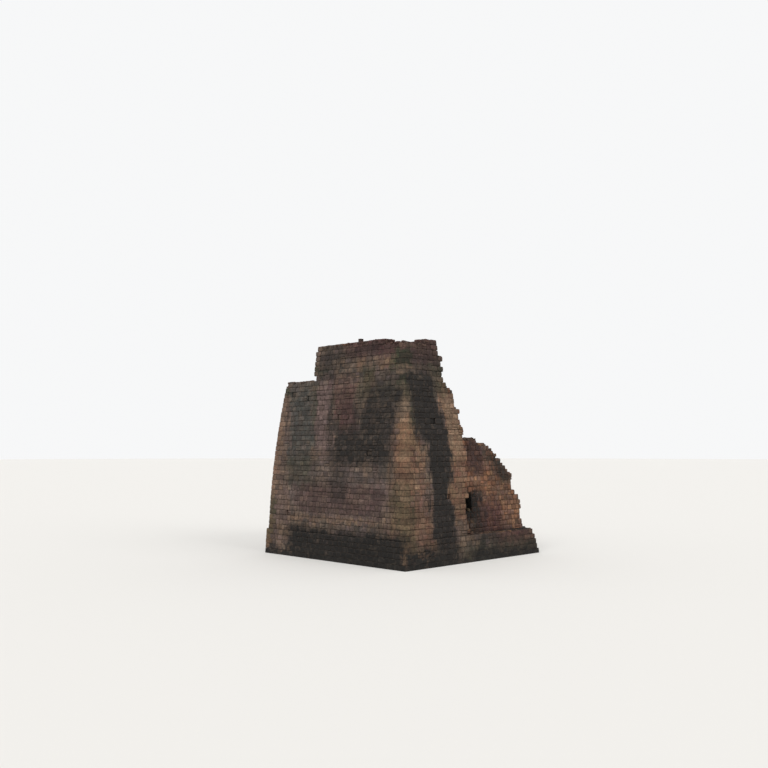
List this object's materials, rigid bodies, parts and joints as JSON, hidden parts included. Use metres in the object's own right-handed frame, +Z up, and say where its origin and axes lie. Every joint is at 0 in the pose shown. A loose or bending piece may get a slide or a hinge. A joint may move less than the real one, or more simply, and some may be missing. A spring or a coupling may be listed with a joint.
{
  "type": "ruined square coastal watchtower",
  "caption": "Square leaning-walled stone watchtower in ruin, one corner fallen, with facing, rubble core, lined room and the stub of its vault.",
  "frame": {"origin": "centre of the square foot, at ground level", "axes": "+Z up; the front wall faces -Y and the right wall faces +X; the fallen corner is at +X +Y"},
  "size_m": [9.6, 9.6, 10.24],
  "materials": {
    "footing_stone": "damp, dark, weathered limestone",
    "facing_stone": "weathered coursed limestone, stained",
    "quoin_stone": "weathered squared limestone",
    "rubble_core": "rough rubble and earthy lime mortar",
    "lining_stone": "weathered coursed limestone",
    "vault_stone": "weathered limestone voussoirs",
    "rubble_fill": "rough rubble and earth",
    "paving_stone": "worn limestone slabs with lichen"
  },
  "bodies": {
    "root": {"front_footing": "footing_stone", "right_footing": "footing_stone", "back_footing": "footing_stone", "left_footing": "footing_stone", "front_facing": "facing_stone", "right_facing": "facing_stone", "back_facing": "facing_stone", "left_facing": "facing_stone", "front_core": "rubble_core", "right_core": "rubble_core", "back_core": "rubble_core", "left_core": "rubble_core", "front_lining": "lining_stone", "right_lining": "lining_stone", "back_lining": "lining_stone", "left_lining": "lining_stone", "front_right_quoins": "quoin_stone", "front_left_quoins": "quoin_stone", "back_left_quoins": "quoin_stone", "vault_left_haunch": "vault_stone", "vault_crown": "vault_stone", "vault_right_haunch": "vault_stone", "front_vault_fill": "rubble_fill", "left_bench_lower": "rubble_fill", "left_bench_middle": "rubble_fill", "left_bench_upper": "rubble_fill", "front_paving": "paving_stone", "left_paving": "paving_stone", "front_parapet": "facing_stone", "right_parapet": "facing_stone", "cap_stone": "quoin_stone"}
  },
  "joints": []
}
